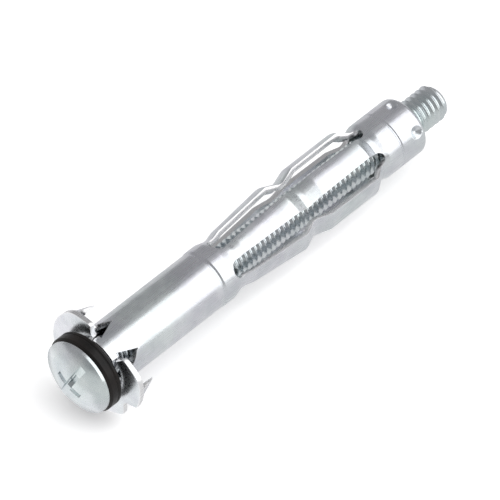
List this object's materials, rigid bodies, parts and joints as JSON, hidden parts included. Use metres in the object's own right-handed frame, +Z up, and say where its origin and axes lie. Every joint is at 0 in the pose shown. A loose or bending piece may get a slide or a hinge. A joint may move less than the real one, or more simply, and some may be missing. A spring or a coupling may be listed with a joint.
{
  "type": "hollow wall anchor",
  "caption": "Hollow-wall anchor: a slotted steel sleeve with a clawed flange, folding legs and a tail nut, on a machine screw with a black washer.",
  "frame": {"origin": "on the anchor's axis, at the flange's wall-side face, where the board's surface is", "axes": "+Y along the axis into the wall, towards the tail and the screw's tip; +Z up; +X across"},
  "size_m": [0.0177, 0.0781, 0.0174],
  "materials": {
    "sleeve_zinc": "bright zinc plating with a slight sheen",
    "nut_zinc": "bright zinc plating",
    "screw_zinc": "bright zinc plating",
    "washer_black": "smooth black with a soft sheen"
  },
  "bodies": {
    "sleeve": {"expansion_sleeve": "sleeve_zinc"},
    "front_leg_1": {"leg_front_1": "sleeve_zinc"},
    "rear_leg_1": {"leg_rear_1": "sleeve_zinc"},
    "front_leg_2": {"leg_front_2": "sleeve_zinc"},
    "rear_leg_2": {"leg_rear_2": "sleeve_zinc"},
    "front_leg_3": {"leg_front_3": "sleeve_zinc"},
    "rear_leg_3": {"leg_rear_3": "sleeve_zinc"},
    "front_leg_4": {"leg_front_4": "sleeve_zinc"},
    "rear_leg_4": {"leg_rear_4": "sleeve_zinc"},
    "front_leg_5": {"leg_front_5": "sleeve_zinc"},
    "rear_leg_5": {"leg_rear_5": "sleeve_zinc"},
    "tail": {"tail_collar": "sleeve_zinc", "threaded_nut": "nut_zinc"},
    "washer": {"washer": "washer_black"},
    "screw": {"machine_screw": "screw_zinc"}
  },
  "joints": [
    {"name": "fold_front_1", "type": "hinge", "parent": "sleeve", "child": "front_leg_1", "pos_m": [0.00165, 0.02575, 0.00408], "axis": [0.9272, 0, -0.3746], "range_deg": [0, 80]},
    {"name": "fold_front_2", "type": "hinge", "parent": "sleeve", "child": "front_leg_2", "pos_m": [0.00439, 0.02575, -0.00031], "axis": [-0.0698, 0, -0.9976], "range_deg": [0, 80]},
    {"name": "fold_front_3", "type": "hinge", "parent": "sleeve", "child": "front_leg_3", "pos_m": [0.00106, 0.02575, -0.00427], "axis": [-0.9703, 0, -0.2419], "range_deg": [0, 80]},
    {"name": "fold_front_4", "type": "hinge", "parent": "sleeve", "child": "front_leg_4", "pos_m": [-0.00373, 0.02575, -0.00233], "axis": [-0.5299, 0, 0.848], "range_deg": [0, 80]},
    {"name": "fold_front_5", "type": "hinge", "parent": "sleeve", "child": "front_leg_5", "pos_m": [-0.00337, 0.02575, 0.00283], "axis": [0.6428, 0, 0.766], "range_deg": [0, 80]},
    {"name": "fold_mid_1", "type": "hinge", "parent": "front_leg_1", "child": "rear_leg_1", "pos_m": [0.0013, 0.0406, 0.00323], "axis": [0.9272, 0, -0.3746], "range_deg": [-160, 0]},
    {"name": "fold_mid_2", "type": "hinge", "parent": "front_leg_2", "child": "rear_leg_2", "pos_m": [0.00347, 0.0406, -0.00024], "axis": [-0.0698, 0, -0.9976], "range_deg": [-160, 0]},
    {"name": "fold_mid_3", "type": "hinge", "parent": "front_leg_3", "child": "rear_leg_3", "pos_m": [0.00084, 0.0406, -0.00338], "axis": [-0.9703, 0, -0.2419], "range_deg": [-160, 0]},
    {"name": "fold_mid_4", "type": "hinge", "parent": "front_leg_4", "child": "rear_leg_4", "pos_m": [-0.00295, 0.0406, -0.00184], "axis": [-0.5299, 0, 0.848], "range_deg": [-160, 0]},
    {"name": "fold_mid_5", "type": "hinge", "parent": "front_leg_5", "child": "rear_leg_5", "pos_m": [-0.00267, 0.0406, 0.00224], "axis": [0.6428, 0, 0.766], "range_deg": [-160, 0]},
    {"name": "fold_tail", "type": "hinge", "parent": "rear_leg_1", "child": "tail", "pos_m": [0.00165, 0.05545, 0.00408], "axis": [0.9272, 0, -0.3746], "range_deg": [0, 80]},
    {"name": "screw_slide", "type": "slide", "parent": "sleeve", "child": "washer", "axis": [0, 1, 0], "range_m": [-0.0111, 0.0008]},
    {"name": "screw_turn", "type": "hinge", "parent": "washer", "child": "screw", "pos_m": [0, 0, 0], "axis": [0, 1, 0], "range_deg": [-4000, 290]}
  ],
  "couplings": [
    {"joint": "fold_front_2", "follows": "fold_front_1", "ratio": 1},
    {"joint": "fold_front_3", "follows": "fold_front_1", "ratio": 1},
    {"joint": "fold_front_4", "follows": "fold_front_1", "ratio": 1},
    {"joint": "fold_front_5", "follows": "fold_front_1", "ratio": 1},
    {"joint": "fold_mid_1", "follows": "fold_front_1", "ratio": -2},
    {"joint": "fold_mid_2", "follows": "fold_front_1", "ratio": -2},
    {"joint": "fold_mid_3", "follows": "fold_front_1", "ratio": -2},
    {"joint": "fold_mid_4", "follows": "fold_front_1", "ratio": -2},
    {"joint": "fold_mid_5", "follows": "fold_front_1", "ratio": -2},
    {"joint": "fold_tail", "follows": "fold_front_1", "ratio": 1},
    {"joint": "screw_turn", "follows": "screw_slide", "rad_per_m": 6283.2}
  ]
}
